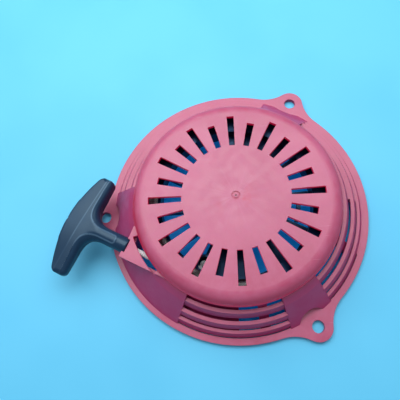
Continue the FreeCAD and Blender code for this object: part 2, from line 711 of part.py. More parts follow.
def bar():
    """Bowed cross bar of the grip with rounded corners and edges."""
    low = ROPE_Z - BAR_HALF_T
    high = ROPE_Z + BAR_HALF_T
    front = NECK_LENGTH + BAR_DEPTH
    half = BAR_HALF_LENGTH
    ends = front - BAR_BOW
    bow = Part.Arc(in_bar(ends, -half, low), in_bar(front, 0, low), in_bar(ends, half, low)).toShape()
    edges = [
        bow,
        Part.makeLine(in_bar(ends, half, low), in_bar(ends - BAR_END_DEPTH, half, low)),
        Part.makeLine(in_bar(ends - BAR_END_DEPTH, half, low), in_bar(ends - BAR_END_DEPTH, -half, low)),
        Part.makeLine(in_bar(ends - BAR_END_DEPTH, -half, low), in_bar(ends, -half, low)),
    ]
    solid = Part.Face(Part.Wire(edges)).extrude(V(0, 0, 2 * BAR_HALF_T))
    corners = [edge for edge in solid.Edges if edge.BoundBox.ZLength > BAR_HALF_T]
    solid = solid.makeFillet(BAR_CORNER_R, corners)
    rims = [edge for edge in solid.Edges
            if edge.BoundBox.ZLength < 0.01 and (abs(edge.BoundBox.ZMin - low) < 0.01
                                                 or abs(edge.BoundBox.ZMin - high) < 0.01)]
    return solid.makeFillet(BAR_ROUND, rims)


def neck():
    """Round neck that runs into the bar."""
    run = NECK_END_RUN + NECK_LENGTH
    solid = along_rope(NECK_R, NECK_END_RUN, run + BAR_DEPTH / 2)
    end = min(solid.Faces, key=lambda face: face.CenterOfMass.dot(PULL))
    return solid.makeFillet(NECK_END_ROUND, end.Edges)


def grip():
    """T grip: bar, neck, rope bore and the recess for the knot."""
    front = NECK_END_RUN + NECK_LENGTH + BAR_DEPTH
    solid = join([bar(), neck()])
    meet = NECK_END_RUN + NECK_LENGTH
    seam = [edge for edge in solid.Edges
            if meet - 1.0 < edge.CenterOfMass.dot(PULL) < meet + BAR_ROUND
            and abs(edge.CenterOfMass.dot(ACROSS) - ROPE_PITCH_R) < NECK_R + 1.0
            and edge.Length < 4 * NECK_R * math.pi]
    solid = solid.makeFillet(NECK_FILLET_R, seam)
    solid = solid.cut(along_rope(GRIP_BORE_R, NECK_END_RUN - 1.0, front + 1.0))
    return solid.cut(along_rope(GRIP_POCKET_R, front - GRIP_POCKET_DEPTH, front + 1.0))


def rope_run():
    """Rope from the reel's tangent point through the guide into the grip's knot."""
    front = NECK_END_RUN + NECK_LENGTH + BAR_DEPTH
    return along_rope(ROPE_R, AXIAL_GAP, front - GRIP_POCKET_DEPTH + ROPE_WASHER_T + GRIP_KNOT_R)


def rope_washer():
    """Steel washer that spreads the knot's load in the grip."""
    foot = NECK_END_RUN + NECK_LENGTH + BAR_DEPTH - GRIP_POCKET_DEPTH
    outer = along_rope(GRIP_POCKET_R - AXIAL_GAP, foot, foot + ROPE_WASHER_T)
    return outer.cut(along_rope(ROPE_R + 0.1, foot - 1, foot + ROPE_WASHER_T + 1))


def grip_knot():
    """Knot on the rope's outer end, behind its washer."""
    front = NECK_END_RUN + NECK_LENGTH + BAR_DEPTH
    run = front - GRIP_POCKET_DEPTH + ROPE_WASHER_T + GRIP_KNOT_R
    return knot_at(rope_frame(run, ROPE_PITCH_R, ROPE_Z), PULL, GRIP_KNOT_R)


def main():
    """Write one STEP file for every piece."""
    pieces = {
        "housing": housing(),
        "rope_guide": rope_guide(),
        "thrust_washer": thrust_washer(),
        "centre_screw": centre_screw(),
        "recoil_spring": recoil_spring(),
        "reel": reel(),
        "rope_on_reel": rope_on_reel(),
        "reel_knot": reel_knot(),
        "ratchet_guide": ratchet_guide(),
        "friction_spring": friction_spring(),
        "rope_run": rope_run(),
        "rope_washer": rope_washer(),
        "grip_knot": grip_knot(),
        "grip": grip(),
    }
    for letter, azimuth in zip("ab", PAWL_AZIMUTHS):
        pieces["ratchet_" + letter] = pawl(azimuth)
        pieces["ratchet_spring_" + letter] = ratchet_spring(azimuth)
    os.makedirs("parts", exist_ok=True)
    for name, shape in pieces.items():
        shape.exportStep(os.path.join("parts", name + ".step"))


main()
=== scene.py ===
import math

import bmesh
import bpy
import numpy as np
from mathutils import Matrix, Vector


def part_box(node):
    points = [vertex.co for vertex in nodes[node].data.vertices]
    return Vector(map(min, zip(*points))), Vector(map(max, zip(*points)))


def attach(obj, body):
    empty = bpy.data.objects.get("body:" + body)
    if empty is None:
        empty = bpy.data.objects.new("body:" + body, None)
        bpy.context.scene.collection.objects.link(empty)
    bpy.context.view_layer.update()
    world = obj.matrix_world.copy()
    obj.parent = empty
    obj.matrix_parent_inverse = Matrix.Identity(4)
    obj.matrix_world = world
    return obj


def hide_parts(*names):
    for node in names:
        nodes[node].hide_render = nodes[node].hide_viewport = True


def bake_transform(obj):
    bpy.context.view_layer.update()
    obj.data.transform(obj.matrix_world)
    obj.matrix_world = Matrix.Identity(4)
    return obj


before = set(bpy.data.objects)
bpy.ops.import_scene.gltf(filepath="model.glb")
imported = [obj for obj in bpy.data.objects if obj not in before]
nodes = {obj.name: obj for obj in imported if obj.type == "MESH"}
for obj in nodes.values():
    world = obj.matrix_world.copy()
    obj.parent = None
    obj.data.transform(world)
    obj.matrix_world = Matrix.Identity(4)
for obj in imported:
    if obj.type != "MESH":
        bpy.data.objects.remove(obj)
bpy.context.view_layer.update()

MM = 0.001


# ---- Camera, floor and light ----
# A pale blue table top and two large soft lamps: a key high behind on the left and a
# weaker fill behind on the right. The camera looks down from the front at about 70 degrees.
CAMERA_AT = Vector((-6.9, -83.6, 286.5)) * MM
CAMERA_RIGHT = (0.9956, -0.0419, -0.0833)
CAMERA_UP = (0.0656, 0.9495, 0.3068)
CAMERA_BACK = (0.0662, -0.311, 0.9481)
CAMERA_LENS = 34.99
CAMERA_SENSOR = 36.0
CAMERA_NEAR = 10.0 * MM
FLOOR_SIZE = 6.0
FLOOR_COLOUR = (0.128, 0.53, 0.77)
FLOOR_PATCH_COLOUR = (0.112, 0.50, 0.74)
# Under the housing the floor gets a deeper blue as painted shade, and its middle gets a painted blue glow.
FLOOR_PAINTED_SHADE_COLOUR = (0.012, 0.46, 0.95)
FLOOR_PAINTED_GLOW = (0.0, 0.045, 0.17)
NO_PAINTED_GLOW = (0.0, 0.0, 0.0)
FLOOR_PATCH_SCALE = 9.0
FLOOR_ROUGHNESS = 0.6
FLOOR_PAINTED_SHADE_REACH = (80.0 * MM, 92.0 * MM)
FLOOR_PAINTED_GLOW_REACH = (60.0 * MM, 92.0 * MM)
SKY_COLOUR = (0.68, 0.88, 1.0)
SKY_STRENGTH = 0.40
KEY_AT = Vector((-0.24, 0.30, 0.62))
KEY_SIZE = 0.62
KEY_ENERGY = 4.6
KEY_COLOUR = (0.86, 0.96, 1.0)
FILL_AT = Vector((0.18, 0.27, 0.60))
FILL_SIZE = 0.5
FILL_ENERGY = 2.6


class Shade:
    """A socket in one material's node tree, with arithmetic on it."""

    def __init__(self, tree, socket=None):
        self.tree = tree
        self.socket = socket

    def node(self, kind, settings=None, inputs=None, output=0):
        """Any node: its type, its settings, its inputs by name or number, and the output wanted."""
        made = self.tree.nodes.new(kind)
        for name, value in (settings or {}).items():
            setattr(made, name, value)
        for key, value in (inputs or {}).items():
            if isinstance(value, Shade):
                self.tree.links.new(value.socket, made.inputs[key])
            else:
                made.inputs[key].default_value = value
        return Shade(self.tree, made.outputs[output])

    def maths(self, operation, *values):
        return self.node("ShaderNodeMath", {"operation": operation}, dict(enumerate(values)))

    def vector(self, operation, *values, output=0):
        return self.node("ShaderNodeVectorMath", {"operation": operation}, dict(enumerate(values)), output)

    def __add__(self, other):
        return self.maths("ADD", self, other)

    def __radd__(self, other):
        return self.maths("ADD", other, self)

    def __sub__(self, other):
        return self.maths("SUBTRACT", self, other)

    def __rsub__(self, other):
        return self.maths("SUBTRACT", other, self)

    def __mul__(self, other):
        return self.maths("MULTIPLY", self, other)

    def __rmul__(self, other):
        return self.maths("MULTIPLY", other, self)

    def ramp(self, low, high, to_low=0.0, to_high=1.0):
        """This value moved smoothly from one range to another, held at its ends."""
        values = {0: self, 1: low, 2: high, 3: to_low, 4: to_high}
        return self.node("ShaderNodeMapRange", {"interpolation_type": "SMOOTHSTEP"}, values)

    def mix(self, first, second):
        """Colour between two, by this value."""
        ends = [colour if isinstance(colour, Shade) else (*colour, 1.0) for colour in (first, second)]
        return self.node("ShaderNodeMix", {"data_type": "RGBA"}, {0: self, 6: ends[0], 7: ends[1]}, 2)

    def noise(self, place, scale, detail=3.0, roughness=0.5):
        inputs = {"Vector": place, "Scale": scale, "Detail": detail, "Roughness": roughness}
        return self.node("ShaderNodeTexNoise", None, inputs)


def material(name):
    """A new material's shader and an empty socket to start its nodes from."""
    made = bpy.data.materials.new(name)
    made.use_nodes = True
    tree = made.node_tree
    return made, Shade(tree), tree.nodes["Principled BSDF"]


def feed(shade, target, value):
    """Links a varying value, or sets a uniform one on the socket itself."""
    if isinstance(value, Shade):
        shade.tree.links.new(value.socket, target)
    else:
        target.default_value = value


def finish_shader(shade, shader, colour, roughness, normal=None, **uniform):
    feed(shade, shader.inputs["Base Color"], colour)
    feed(shade, shader.inputs["Roughness"], roughness)
    if normal is not None:
        feed(shade, shader.inputs["Normal"], normal)
    for name, value in uniform.items():
        shader.inputs[name.replace("_", " ")].default_value = value


def object_place(shade):
    """Place on the piece in metres."""
    return shade.node("ShaderNodeTexCoord", None, None, "Object")


def bump(shade, height, strength, distance, round_edges=0.0):
    """Normal from a height, over edges that look rounded by a small radius."""
    inputs = {"Height": height, "Strength": strength, "Distance": distance}
    if round_edges:
        inputs["Normal"] = shade.node("ShaderNodeBevel", {"samples": 4}, {"Radius": round_edges})
    return shade.node("ShaderNodeBump", None, inputs)


def area_lamp(name, place, size, energy):
    lamp = bpy.data.lights.new(name, "AREA")
    lamp.color = KEY_COLOUR
    lamp.size = size
    lamp.energy = energy
    made = bpy.data.objects.new(name, lamp)
    made.location = place
    made.rotation_euler = place.to_track_quat("Z", "Y").to_euler()
    bpy.context.scene.collection.objects.link(made)


camera = bpy.data.objects.new("camera", bpy.data.cameras.new("camera"))
camera.data.sensor_width = CAMERA_SENSOR
camera.data.lens = CAMERA_LENS
camera.data.clip_start = CAMERA_NEAR
turn = Matrix((CAMERA_RIGHT, CAMERA_UP, CAMERA_BACK)).transposed()
camera.matrix_world = Matrix.Translation(CAMERA_AT) @ turn.to_4x4()
bpy.context.scene.collection.objects.link(camera)
bpy.context.scene.camera = camera
bpy.context.scene.view_settings.view_transform = "Standard"

area_lamp("key_lamp", KEY_AT, KEY_SIZE, KEY_ENERGY)
area_lamp("fill_lamp", FILL_AT, FILL_SIZE, FILL_ENERGY)
sky = bpy.data.worlds.new("sky")
sky.use_nodes = True
sky.node_tree.nodes["Background"].inputs["Color"].default_value = (*SKY_COLOUR, 1.0)
sky.node_tree.nodes["Background"].inputs["Strength"].default_value = SKY_STRENGTH
bpy.context.scene.world = sky


def floor_material():
    made, shade, shader = material("pale_floor")
    place = object_place(shade)
    patch = shade.noise(place, FLOOR_PATCH_SCALE, 2.0).ramp(0.35, 0.65)
    # Painted shade: a deeper blue under the housing. Painted glow: blue emission in the middle of that area.
    outside_painted_shade = shade.vector("LENGTH", place, output=1).ramp(*FLOOR_PAINTED_SHADE_REACH)
    base = outside_painted_shade.mix(FLOOR_PAINTED_SHADE_COLOUR, patch.mix(FLOOR_COLOUR, FLOOR_PATCH_COLOUR))
    middle = shade.vector("LENGTH", place, output=1).ramp(*FLOOR_PAINTED_GLOW_REACH, 1.0, 0.0)
    painted_glow = middle.mix(NO_PAINTED_GLOW, FLOOR_PAINTED_GLOW)
    finish_shader(shade, shader, base, FLOOR_ROUGHNESS)
    feed(shade, shader.inputs["Emission Color"], painted_glow)
    shader.inputs["Emission Strength"].default_value = 1.0
    return made


bpy.ops.mesh.primitive_plane_add(size=FLOOR_SIZE)
floor = bpy.context.object
floor.name = "floor"
floor.data.materials.append(floor_material())


# ---- Housing ----
# One injection moulding in red plastic: slotted cap, louvred skirt, flange with three
# ears and the rope's exit box. Semi-gloss, with flow marks spreading from the gate at
# the cap's centre, faint scuffs and slightly softened edges.
RED = (0.50, 0.078, 0.155)
RED_DEEP = (0.45, 0.058, 0.125)
RED_PALE = (0.58, 0.16, 0.27)
RED_ROUGHNESS = (0.36, 0.50)
RED_EDGE = 0.35 * MM
FLOW_REACH = (4.0 * MM, 36.0 * MM)
SCUFF_COLOUR = (0.66, 0.30, 0.38)
# Painted shade and painted glow, chosen by how steep a face is (the first colour also tints the blotches):
RED_BLOTCH_AND_PAINTED_WALL_SHADE = (0.52, 0.008, 0.05)
RED_PAINTED_SLOPE_SHADE = (0.42, 0.024, 0.115)
RED_PAINTED_GLOW = (0.17, 0.002, 0.020)
STEEP_FACES = (0.45, 0.95)
SLOPE_FACES = (0.66, 0.92)
UPRIGHT_FACES = (0.1, 0.7)
CAP_HEIGHTS = (24.5 * MM, 27.0 * MM)
GATE_RING = (1.7 * MM, 2.3 * MM, 3.1 * MM)
GATE_DOT = (0.5 * MM, 0.9 * MM)
GATE_RED = (0.42, 0.015, 0.07)
GATE_DARK = (0.10, 0.006, 0.02)
BLOTCH_REACH = (5.0 * MM, 18.0 * MM)
MOTTLE_SCALE = 140.0
BROAD_SCALE = 22.0
STREAK_SCALE = 5.0
SCRATCH_STRETCH = (60.0, 900.0, 60.0)
SCUFF_PATCH_SCALE = 30.0
BLOTCH_SCALE = 75.0
FINE_GRAIN_SCALE = 1400.0
COARSE_GRAIN_SCALE = 260.0
GRAIN_DEPTH = 0.2 * MM
RED_LIGHT_REACH = (1.0, 0.12, 0.25)


def red_plastic():
    made, shade, shader = material("red_plastic")
    place = object_place(shade)
    mottle = shade.noise(place, MOTTLE_SCALE, 4.0, 0.6).ramp(0.3, 0.7)
    broad = shade.noise(place, BROAD_SCALE, 2.0).ramp(0.35, 0.65)
    flat = shade.vector("MULTIPLY", place, (1.0, 1.0, 0.0))
    away = shade.vector("LENGTH", flat, output=1)
    streaks = shade.noise(shade.vector("NORMALIZE", flat), STREAK_SCALE, 5.0, 0.65).ramp(0.42, 0.62)
    near_gate = away.ramp(*FLOW_REACH, 0.75, 0.0)
    flow = streaks * near_gate
    scratch_place = shade.vector("MULTIPLY", place, SCRATCH_STRETCH)
    scratch = shade.noise(scratch_place, 1.0, 2.0).ramp(0.70, 0.78)
    scuffed = scratch * shade.noise(place, SCUFF_PATCH_SCALE, 1.0).ramp(0.5, 0.62)
    base = broad.mix(RED, RED_DEEP)
    base = (mottle * 0.22).mix(base, RED_PALE)
    base = (flow * 0.35).mix(base, RED_PALE)
    blotch = shade.noise(place, BLOTCH_SCALE, 3.0).ramp(0.5, 0.66) * away.ramp(*BLOTCH_REACH, 1.0, 0.0)
    base = (blotch * 0.5).mix(base, RED_BLOTCH_AND_PAINTED_WALL_SHADE)
    inner, middle, outer = GATE_RING
    ring = away.ramp(inner, middle) * away.ramp(middle, outer, 1.0, 0.0)
    base = (ring * 0.8).mix(base, GATE_RED)
    base = away.ramp(*GATE_DOT, 0.9, 0.0).mix(base, GATE_DARK)
    base = (scuffed * 0.35).mix(base, SCUFF_COLOUR)
    # Painted shade: steep faces on the cap turn deep crimson and sloping faces on the skirt a darker red.
    # Upright faces on the cap get a painted red glow.
    facing = shade.node("ShaderNodeNewGeometry", None, None, "Normal")
    level = shade.maths("ABSOLUTE", shade.node("ShaderNodeSeparateXYZ", None, {0: facing}, 2))
    on_cap = shade.node("ShaderNodeSeparateXYZ", None, {0: place}, 2).ramp(*CAP_HEIGHTS)
    skirt = level.ramp(*SLOPE_FACES).mix(RED_PAINTED_SLOPE_SHADE, base)
    base = on_cap.mix(skirt, level.ramp(*STEEP_FACES).mix(RED_BLOTCH_AND_PAINTED_WALL_SHADE, base))
    painted_glow = (on_cap * level.ramp(*UPRIGHT_FACES, 1.0, 0.0)).mix(NO_PAINTED_GLOW, RED_PAINTED_GLOW)
    rough = mottle.ramp(0.0, 1.0, *RED_ROUGHNESS) + scuffed * 0.15
    grain = shade.noise(place, FINE_GRAIN_SCALE, 3.0) + shade.noise(place, COARSE_GRAIN_SCALE, 2.0) * 2.0
    normal = bump(shade, grain, 0.08, GRAIN_DEPTH, RED_EDGE)
    finish_shader(shade, shader, base, rough, normal,
                  Specular_IOR_Level=0.6, Subsurface_Weight=0.2, Subsurface_Scale=0.002,
                  Subsurface_Radius=RED_LIGHT_REACH, Emission_Strength=1.0)
    feed(shade, shader.inputs["Emission Color"], painted_glow)
    return made


def dress(node, finish):
    """Gives a CAD node one finish all over."""
    piece = nodes[node]
    if not piece.data.materials:
        piece.data.materials.append(None)
    for slot in piece.material_slots:
        slot.material = finish


dress("housing", red_plastic())


# ---- Reel ----
# Black nylon drum with the spring's pocket, spokes and the rope's groove. Satin, with
# dust and fine rubbing marks round its axis from years of turning. Its black and its dust
# are tinted blue as painted blue light, and its reflections carry a painted blue tint.
REEL_BLACK_AND_PAINTED_BLUE = (0.001, 0.009, 0.040)
REEL_DUST_AND_PAINTED_BLUE = (0.008, 0.028, 0.080)
REEL_EDGE = 0.3 * MM
PAINTED_BLUE_REFLECTION_TINT = (0.35, 0.60, 1.0)
DUST_SCALE = 60.0
TURNING_MARK_SCALE = 1500.0
BLACK_GRAIN_SCALE = 1600.0


def black_plastic(name, black, dust, rough_low, rough_high, edge):
    """Moulded black plastic with dust in patches and faint turning marks."""
    made, shade, shader = material(name)
    place = object_place(shade)
    patches = shade.noise(place, DUST_SCALE, 4.0, 0.6).ramp(0.45, 0.72)
    flat = shade.vector("MULTIPLY", place, (1.0, 1.0, 0.0))
    away = shade.vector("LENGTH", flat, output=1)
    rings = shade.node("ShaderNodeTexNoise", {"noise_dimensions": "1D"},
                       {"W": away, "Scale": TURNING_MARK_SCALE, "Detail": 2.0})
    marks = rings.ramp(0.45, 0.7)
    # For the reel, the black and dust colours passed in carry painted blue light.
    base = (patches * 0.7).mix(black, dust)
    rough = (patches * 0.6 + marks * 0.4).ramp(0.0, 1.0, rough_low, rough_high)
    grain = shade.noise(place, BLACK_GRAIN_SCALE, 3.0) + marks * 0.5
    # The specular tint colours the reflections blue as a painted reflection.
    finish_shader(shade, shader, base, rough, bump(shade, grain, 0.12, GRAIN_DEPTH, edge),
                  Specular_Tint=(*PAINTED_BLUE_REFLECTION_TINT, 1.0))
    return made


dress("reel", black_plastic("reel_plastic", REEL_BLACK_AND_PAINTED_BLUE, REEL_DUST_AND_PAINTED_BLUE, 0.28, 0.5, REEL_EDGE))


# ---- Rope ----
# White braided starter rope, 4 mm. It is knotted in the reel's cell, wound three times
# round the groove in two layers, runs out through the bush and is knotted in the grip.
ROPE_R = 2.0 * MM
ROPE_Z = 23.3 * MM
PULL_AZIMUTH = math.radians(152.0)
PITCH_R = 61.0 * MM
LAYER_STEP = 4.05 * MM
COLUMN_STEP = 4.1 * MM
KNOT_AZIMUTH = 241.0
LEAVING_AZIMUTH = 242.0
WOUND_LEAD = 6.0
WOUND_TURNS = 3
WOUND_ANGLE = 360.0 * WOUND_TURNS - (LEAVING_AZIMUTH - KNOT_AZIMUTH) - WOUND_LEAD
WOUND_STEPS = 280
COLUMN_ASIDE = (300.0, 345.0)
LAYER_OUT = (600.0, 655.0)
COLUMN_BACK = (900.0, 945.0)
LEAD_IN_SHARES = (0.35, 0.6, 0.85)
ROPE_SIDES = 14
ROPE_WHITE = (0.80, 0.80, 0.78)
ROPE_SHADOW = (0.42, 0.42, 0.42)
BRAID_STRANDS = 8.0
BRAID_PITCH = 1.1
FUZZ_SCALE = 2500.0
BRAID_DEPTH = 0.5 * MM
REEL_KNOT_AT_R = 49.4 * MM
INNER_KNOT_DROP = 0.6 * MM
INNER_KNOT_SIZE = 1.9 * MM
INNER_KNOT_ROPE_R = 1.45 * MM
OUTER_KNOT_SIZE = 2.3 * MM
OUTER_KNOT_ROPE_R = 1.55 * MM
KNOT_STEPS = 72
KNOT_WEAVE = 1.2

PULL = Vector((math.cos(PULL_AZIMUTH), math.sin(PULL_AZIMUTH), 0.0))
ACROSS = Vector((-PULL.y, PULL.x, 0.0))
UP = Vector((0.0, 0.0, 1.0))


def polar(radius, azimuth, z):
    angle = math.radians(azimuth)
    return Vector((radius * math.cos(angle), radius * math.sin(angle), z))


def eased(value, start, end):
    share = min(max((value - start) / (end - start), 0.0), 1.0)
    return share * share * (3.0 - 2.0 * share)


def wound_point(turned):
    """Centre of the wound rope: two columns, then a second layer over them."""
    column = eased(turned, *COLUMN_ASIDE) - eased(turned, *COLUMN_BACK)
    layer = eased(turned, *LAYER_OUT)
    radius = PITCH_R - LAYER_STEP + layer * LAYER_STEP
    return polar(radius, KNOT_AZIMUTH - WOUND_LEAD - turned, ROPE_Z - column * COLUMN_STEP)


def braided(name, points, radius, closed=False):
    """Tube mesh along points, its map running along and round it in rope girths."""
    mesh = bmesh.new()
    chart = mesh.loops.layers.uv.new("along")
    girth = 2.0 * math.pi * radius
    count = len(points)
    rings, lengths, run = [], [], 0.0
    side = None
    for n, point in enumerate(points):
        before = points[(n - 1) % count] if closed or n else point
        after = points[(n + 1) % count] if closed or n < count - 1 else point
        ahead = (after - before).normalized()
        side = (side or ahead.orthogonal()) - ahead * (side or ahead.orthogonal()).dot(ahead)
        side.normalize()
        third = ahead.cross(side)
        turns = [2.0 * math.pi * k / ROPE_SIDES for k in range(ROPE_SIDES)]
        spokes = [side * math.cos(a) + third * math.sin(a) for a in turns]
        rings.append([mesh.verts.new(point + spoke * radius) for spoke in spokes])
        run += (point - points[n - 1]).length if n else 0.0
        lengths.append(run / girth)
    last = count if closed else count - 1
    for n in range(last):
        here, there = rings[n], rings[(n + 1) % count]
        far = lengths[n + 1] if n + 1 < count else lengths[n] + (points[0] - points[n]).length / girth
        for k in range(ROPE_SIDES):
            m = (k + 1) % ROPE_SIDES
            face = mesh.faces.new((here[k], here[m], there[m], there[k]))
            face.smooth = True
            spots = ((lengths[n], k), (lengths[n], k + 1), (far, k + 1), (far, k))
            for loop, (along, round_it) in zip(face.loops, spots):
                loop[chart].uv = (along, round_it / ROPE_SIDES)
    if not closed:
        mesh.faces.new(rings[0][::-1])
        mesh.faces.new(rings[-1])
    bmesh.ops.recalc_face_normals(mesh, faces=mesh.faces)
    data = bpy.data.meshes.new(name)
    mesh.to_mesh(data)
    mesh.free()
    piece = bpy.data.objects.new(name, data)
    bpy.context.scene.collection.objects.link(piece)
    return piece


def rope_material():
    """Eight strands each way over and under, slightly fuzzy, with grey between them."""
    made, shade, shader = material("rope_braid")
    chart = shade.node("ShaderNodeTexCoord", None, None, "UV")
    along = shade.node("ShaderNodeSeparateXYZ", None, {0: chart}, 0)
    around = shade.node("ShaderNodeSeparateXYZ", None, {0: chart}, 1)
    one_way = shade.maths("SINE", (around * BRAID_STRANDS + along * BRAID_PITCH * BRAID_STRANDS) * math.pi)
    other_way = shade.maths("SINE", (around * BRAID_STRANDS - along * BRAID_PITCH * BRAID_STRANDS) * math.pi)
    height = shade.maths("MAXIMUM", shade.maths("ABSOLUTE", one_way), shade.maths("ABSOLUTE", other_way))
    fuzz = shade.noise(object_place(shade), FUZZ_SCALE, 3.0)
    shown = (height * 0.8 + fuzz * 0.3).ramp(0.55, 1.0)
    base = shown.mix(ROPE_SHADOW, ROPE_WHITE)
    finish_shader(shade, shader, base, 0.8, bump(shade, height + fuzz * 0.4, 0.6, BRAID_DEPTH),
                  Sheen_Weight=0.3, Sheen_Roughness=0.6)
    return made


def knot_points(centre, facing, size):
    """Overhand knot: one closed trefoil turn, facing a direction."""
    turn = facing.to_track_quat("Z", "Y")
    points = []
    for n in range(KNOT_STEPS):
        t = 2.0 * math.pi * n / KNOT_STEPS
        loop = Vector((math.sin(t) + 2.0 * math.sin(2.0 * t), math.cos(t) - 2.0 * math.cos(2.0 * t),
                       -KNOT_WEAVE * math.sin(3.0 * t))) / 3.0
        points.append(centre + turn @ (loop * size))
    return points


rope_finish = rope_material()
lead_in = [polar(REEL_KNOT_AT_R + share * (PITCH_R - LAYER_STEP - REEL_KNOT_AT_R),
                 KNOT_AZIMUTH - WOUND_LEAD * share ** 2, ROPE_Z) for share in LEAD_IN_SHARES]
wound = lead_in + [wound_point(WOUND_ANGLE * n / WOUND_STEPS) for n in range(WOUND_STEPS + 1)]
wound_rope = braided("wound_rope", wound, ROPE_R)
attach(wound_rope, "reel")
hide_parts("rope_on_reel")

inner_turns = knot_points(polar(REEL_KNOT_AT_R, KNOT_AZIMUTH, ROPE_Z - INNER_KNOT_DROP),
                          polar(1.0, KNOT_AZIMUTH, 0.0), INNER_KNOT_SIZE)
inner_knot = braided("inner_knot", inner_turns, INNER_KNOT_ROPE_R, True)
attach(inner_knot, "reel")
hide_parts("reel_knot")

knot_low, knot_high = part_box("grip_knot")
knot_at = (knot_low + knot_high) / 2.0
tangent = ACROSS * PITCH_R + UP * ROPE_Z
RUN_START = 0.3 * MM
RUN_STEPS = 40
run_end = (knot_at - tangent).dot(PULL)
straight = [tangent + PULL * (RUN_START + (run_end - RUN_START) * n / RUN_STEPS)
            for n in range(RUN_STEPS + 1)]
rope_out = braided("rope_out", straight, ROPE_R)
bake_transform(rope_out)
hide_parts("rope_run")

outer_knot = braided("outer_knot", knot_points(knot_at, PULL, OUTER_KNOT_SIZE), OUTER_KNOT_ROPE_R, True)
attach(outer_knot, "pull_rope")
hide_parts("grip_knot")
for piece in (wound_rope, inner_knot, rope_out, outer_knot):
    piece.data.materials.append(rope_finish)


# ---- Steel parts ----
# Zinc-plated screw, washers and pawls, the bright bush that the rope rubs, and blued
# strip and wire for the springs. Fine brushed grain and small colour changes.
ZINC = (0.52, 0.53, 0.52)
ZINC_TINT = (0.50, 0.47, 0.38)
BLUED = (0.16, 0.18, 0.22)
BLUED_TINT = (0.24, 0.22, 0.20)
BRIGHT = (0.66, 0.66, 0.65)
STEEL_CLOUD_SCALE = 160.0
BRUSH_STRETCH = (300.0, 4200.0, 4200.0)
BRUSH_DEPTH = 0.1 * MM
STEEL_EDGE = 0.15 * MM


def steel(name, colour, tint, rough_low, rough_high):
    made, shade, shader = material(name)
    place = object_place(shade)
    cloud = shade.noise(place, STEEL_CLOUD_SCALE, 3.0).ramp(0.35, 0.68)
    brushed = shade.noise(shade.vector("MULTIPLY", place, BRUSH_STRETCH), 1.0, 2.0)
    rough = (cloud * 0.5 + brushed * 0.5).ramp(0.3, 0.7, rough_low, rough_high)
    base = cloud.mix(colour, tint)
    normal = bump(shade, brushed, 0.15, BRUSH_DEPTH, STEEL_EDGE)
    finish_shader(shade, shader, base, rough, normal, Metallic=1.0)
    return made


zinc = steel("zinc_plate", ZINC, ZINC_TINT, 0.25, 0.42)
for node in ("centre_screw", "thrust_washer", "ratchet_a", "ratchet_b", "rope_washer"):
    dress(node, zinc)
dress("rope_guide", steel("bright_steel", BRIGHT, ZINC, 0.14, 0.3))
blued = steel("blued_steel", BLUED, BLUED_TINT, 0.22, 0.4)
for node in ("recoil_spring", "friction_spring", "ratchet_spring_a", "ratchet_spring_b"):
    dress(node, blued)


# ---- Ratchet guide ----
# Moulded black plastic plate with two cam slots, under the reel. A split wire ring grips
# its hub, so that it lags behind the reel and swings the pawls out.
GUIDE_BLACK = (0.014, 0.014, 0.015)
GUIDE_DUST = (0.05, 0.048, 0.045)
GUIDE_EDGE = 0.2 * MM

dress("ratchet_guide", black_plastic("guide_plastic", GUIDE_BLACK, GUIDE_DUST, 0.3, 0.5, GUIDE_EDGE))


# ---- Grip ----
# T grip in dark blue-grey plastic, one moulding. A flat panel with a soft raised edge
# runs from the bar along the neck, and a crease follows the bar where its outer side
# starts to slope. The mesh is the CAD grip's, remeshed evenly and drawn on to a formula.
GRIP_VOXEL = 0.5 * MM
GRIP_COLOUR = (0.004, 0.020, 0.052)
GRIP_PALE = (0.010, 0.034, 0.075)
GRIP_PAINTED_HIGHLIGHT = (0.085, 0.14, 0.21)
GRIP_SHEEN_TINT = (0.72, 0.90, 1.0)
NECK_END_RUN = 54.6
NECK_HALF = 5.75
NECK_END_ROUND = 0.8
BAR_BACK = 85.2
BAR_FRONT = 103.3
BAR_BOW = 7.7
BAR_HALF = 37.4
BAR_HALF_T = 6.9
BAR_CROWN = 1.5
BAR_CORNER = 3.4
BAR_ROUND = 3.6
BAR_FRONT_ROUND = 1.8
CONCAVE_REACH = 13.0
SWELL_RUNS = (77.0, 88.0)
PANEL_HEIGHT = 0.5
PANEL_NECK_HALF = 3.2
PANEL_NECK_END = 63.0
PANEL_BAR_BACK = 88.2
PANEL_NECK_ROUND = 0.7 * PANEL_NECK_HALF
PANEL_END_OVERRUN = 6.0
PANEL_SOFT = 0.4
CREASE_RUN = 92.0
CREASE_LEAN = 0.05
CREASE_SLOPE = 0.12
PAINTED_HIGHLIGHT_WIDTH = 0.36
PAINTED_HIGHLIGHT_FADE = (6.0, 20.0)
PAINTED_HIGHLIGHT_LOST = 0.8
CREASE_PAINTED_HIGHLIGHT = 0.6
LOWER_FALL = 2.0
BAR_SKEW = 0.3
BORE_R = 2.5
POCKET_R = 5.2
POCKET_DEPTH = 11.0
DRAW_STEPS = 6
DRAW_LIMIT = 0.8
DRAW_NUDGE = 0.02
FLATTEST_SLOPE = 0.2
GRIP_CLOUD_SCALE = 45.0
GRIP_RUB_STRETCH = (900.0, 120.0, 120.0)
GRIP_GRAIN_SCALE = 1300.0


def smooth_step(value, start, end):
    share = np.clip((value - start) / (end - start), 0.0, 1.0)
    return share * share * (3.0 - 2.0 * share)


def round_join(first, second, reach):
    """Distance to two shapes joined with a concave round."""
    share = np.maximum(reach - np.abs(first - second), 0.0) / reach
    return np.minimum(first, second) - share * share * reach / 4.0


def round_corner(first, second, radius):
    """Distance to the place inside both limits, its corner rounded."""
    a, b = first + radius, second + radius
    return np.hypot(np.maximum(a, 0.0), np.maximum(b, 0.0)) + np.minimum(np.maximum(a, b), 0.0) - radius


